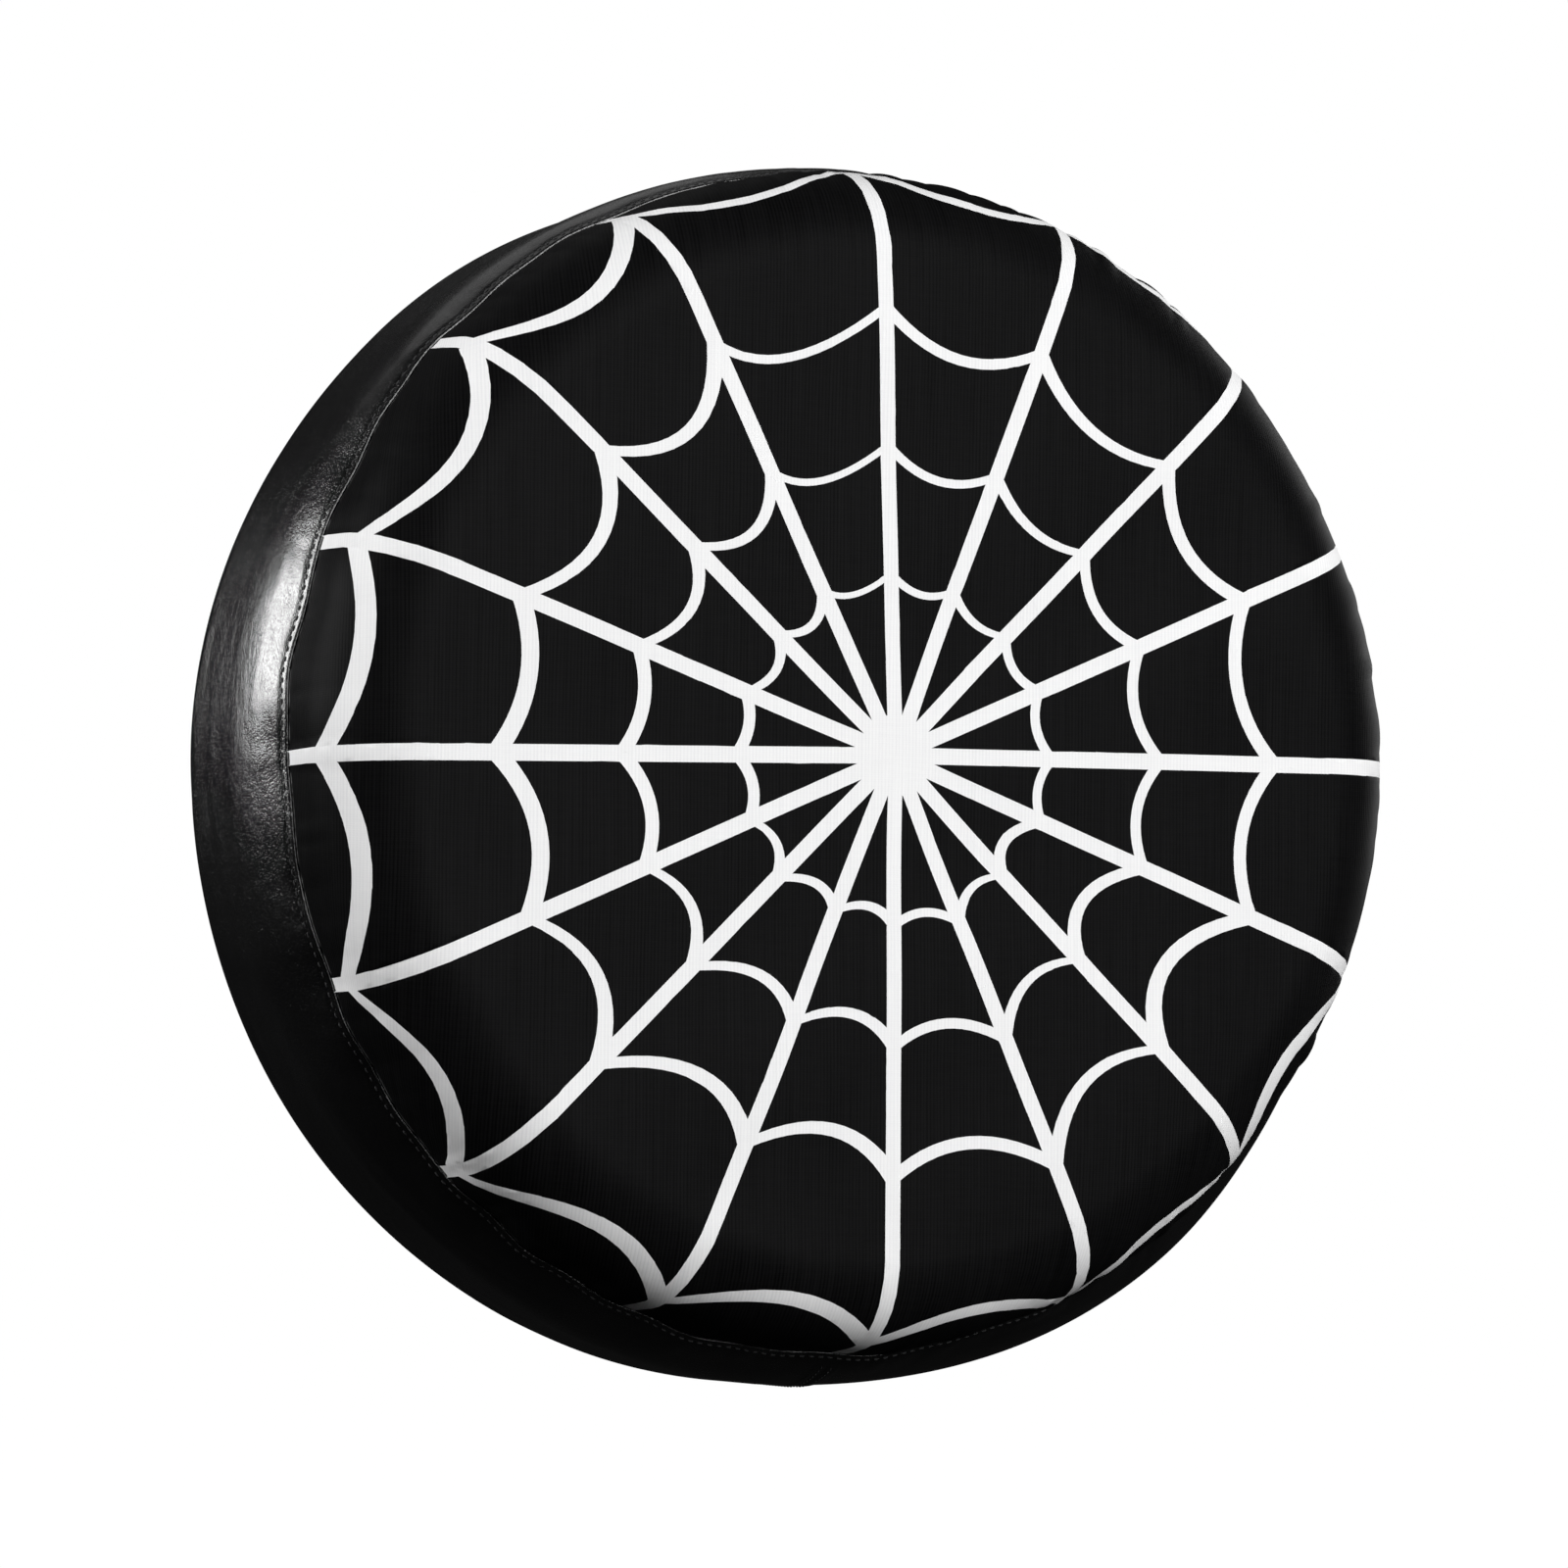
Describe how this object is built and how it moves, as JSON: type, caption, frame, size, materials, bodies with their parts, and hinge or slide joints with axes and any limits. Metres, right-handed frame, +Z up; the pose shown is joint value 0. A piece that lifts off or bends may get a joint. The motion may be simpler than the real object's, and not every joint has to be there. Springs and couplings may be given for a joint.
{
  "type": "spare tire cover",
  "caption": "Soft round cover for a spare wheel: printed cloth face, leather-look side band and a gathered elastic hem round an open back.",
  "frame": {"origin": "on the wheel's axis, in the middle of the space that the tyre fills", "axes": "+Y along the wheel's axis, out of the open back; the closed face looks towards -Y; +Z up, opposite the band's closing seam"},
  "size_m": [0.74, 0.2355, 0.7405],
  "materials": {
    "printed_cloth": "matte black printed polyester with a white line print",
    "leather_cloth": "soft gloss black coated cloth with a fine grain",
    "casing_cloth": "matte black woven tape",
    "binding_tape": "matte black woven tape",
    "braided_elastic": "off-white braided elastic",
    "black_thread": "black polyester thread"
  },
  "bodies": {
    "root": {"face_panel": "printed_cloth", "face_seam_binding": "binding_tape", "face_seam_thread": "black_thread", "side_band": "leather_cloth", "band_closing_tape": "binding_tape", "band_closing_thread": "black_thread"},
    "hem": {"hem_casing": "casing_cloth", "hem_elastic": "braided_elastic", "elastic_bar_tack": "black_thread", "hem_thread": "black_thread"}
  },
  "joints": [
    {"name": "hem_pull", "type": "slide", "parent": "root", "child": "hem", "axis": [0, 1, 0], "range_m": [0, 0.03], "stiffness_N_per_m": 60}
  ]
}
